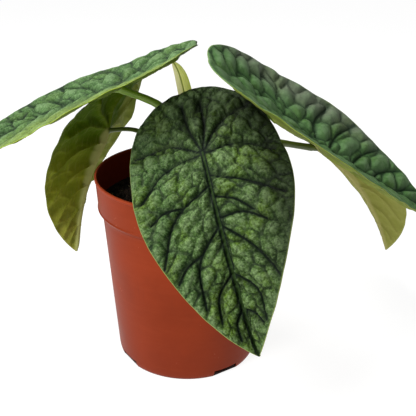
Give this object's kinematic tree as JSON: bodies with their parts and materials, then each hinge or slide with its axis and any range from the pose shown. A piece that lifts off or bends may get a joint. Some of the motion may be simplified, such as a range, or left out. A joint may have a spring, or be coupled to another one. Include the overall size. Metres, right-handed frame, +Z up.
{
  "type": "potted alocasia",
  "caption": "Live alocasia with quilted shield-shaped leaves on curved stalks and a rolled young leaf, in a tapered round nursery pot of potting mix.",
  "frame": {"origin": "middle of the pot's flat underside", "axes": "+Z up; -Y is the plant's front, where the largest leaf hangs over the rim; +X is to the right seen from the front"},
  "size_m": [0.3185, 0.2343, 0.2119],
  "materials": {
    "pot_plastic": "terracotta-coloured thin moulded plastic with a soft sheen",
    "potting_mix": "dark crumbly potting mix",
    "blade_green": "dark green quilted upper side with sunken veins and a pale margin",
    "hanging_blade_green": "olive green underside with pale raised veins",
    "stalk_green": "smooth bright green",
    "young_green": "smooth pale yellow-green",
    "crown_green": "rough green-brown"
  },
  "bodies": {
    "root": {"pot": "pot_plastic", "soil": "potting_mix", "crown": "crown_green", "blade_front": "blade_green", "stalk_front": "stalk_green", "blade_left": "blade_green", "stalk_left": "stalk_green", "blade_right": "blade_green", "stalk_right": "stalk_green", "blade_rear_left": "hanging_blade_green", "stalk_rear_left": "stalk_green", "blade_rear_right": "hanging_blade_green", "stalk_rear_right": "stalk_green", "young_leaf": "young_green", "young_stalk": "stalk_green"}
  },
  "joints": []
}
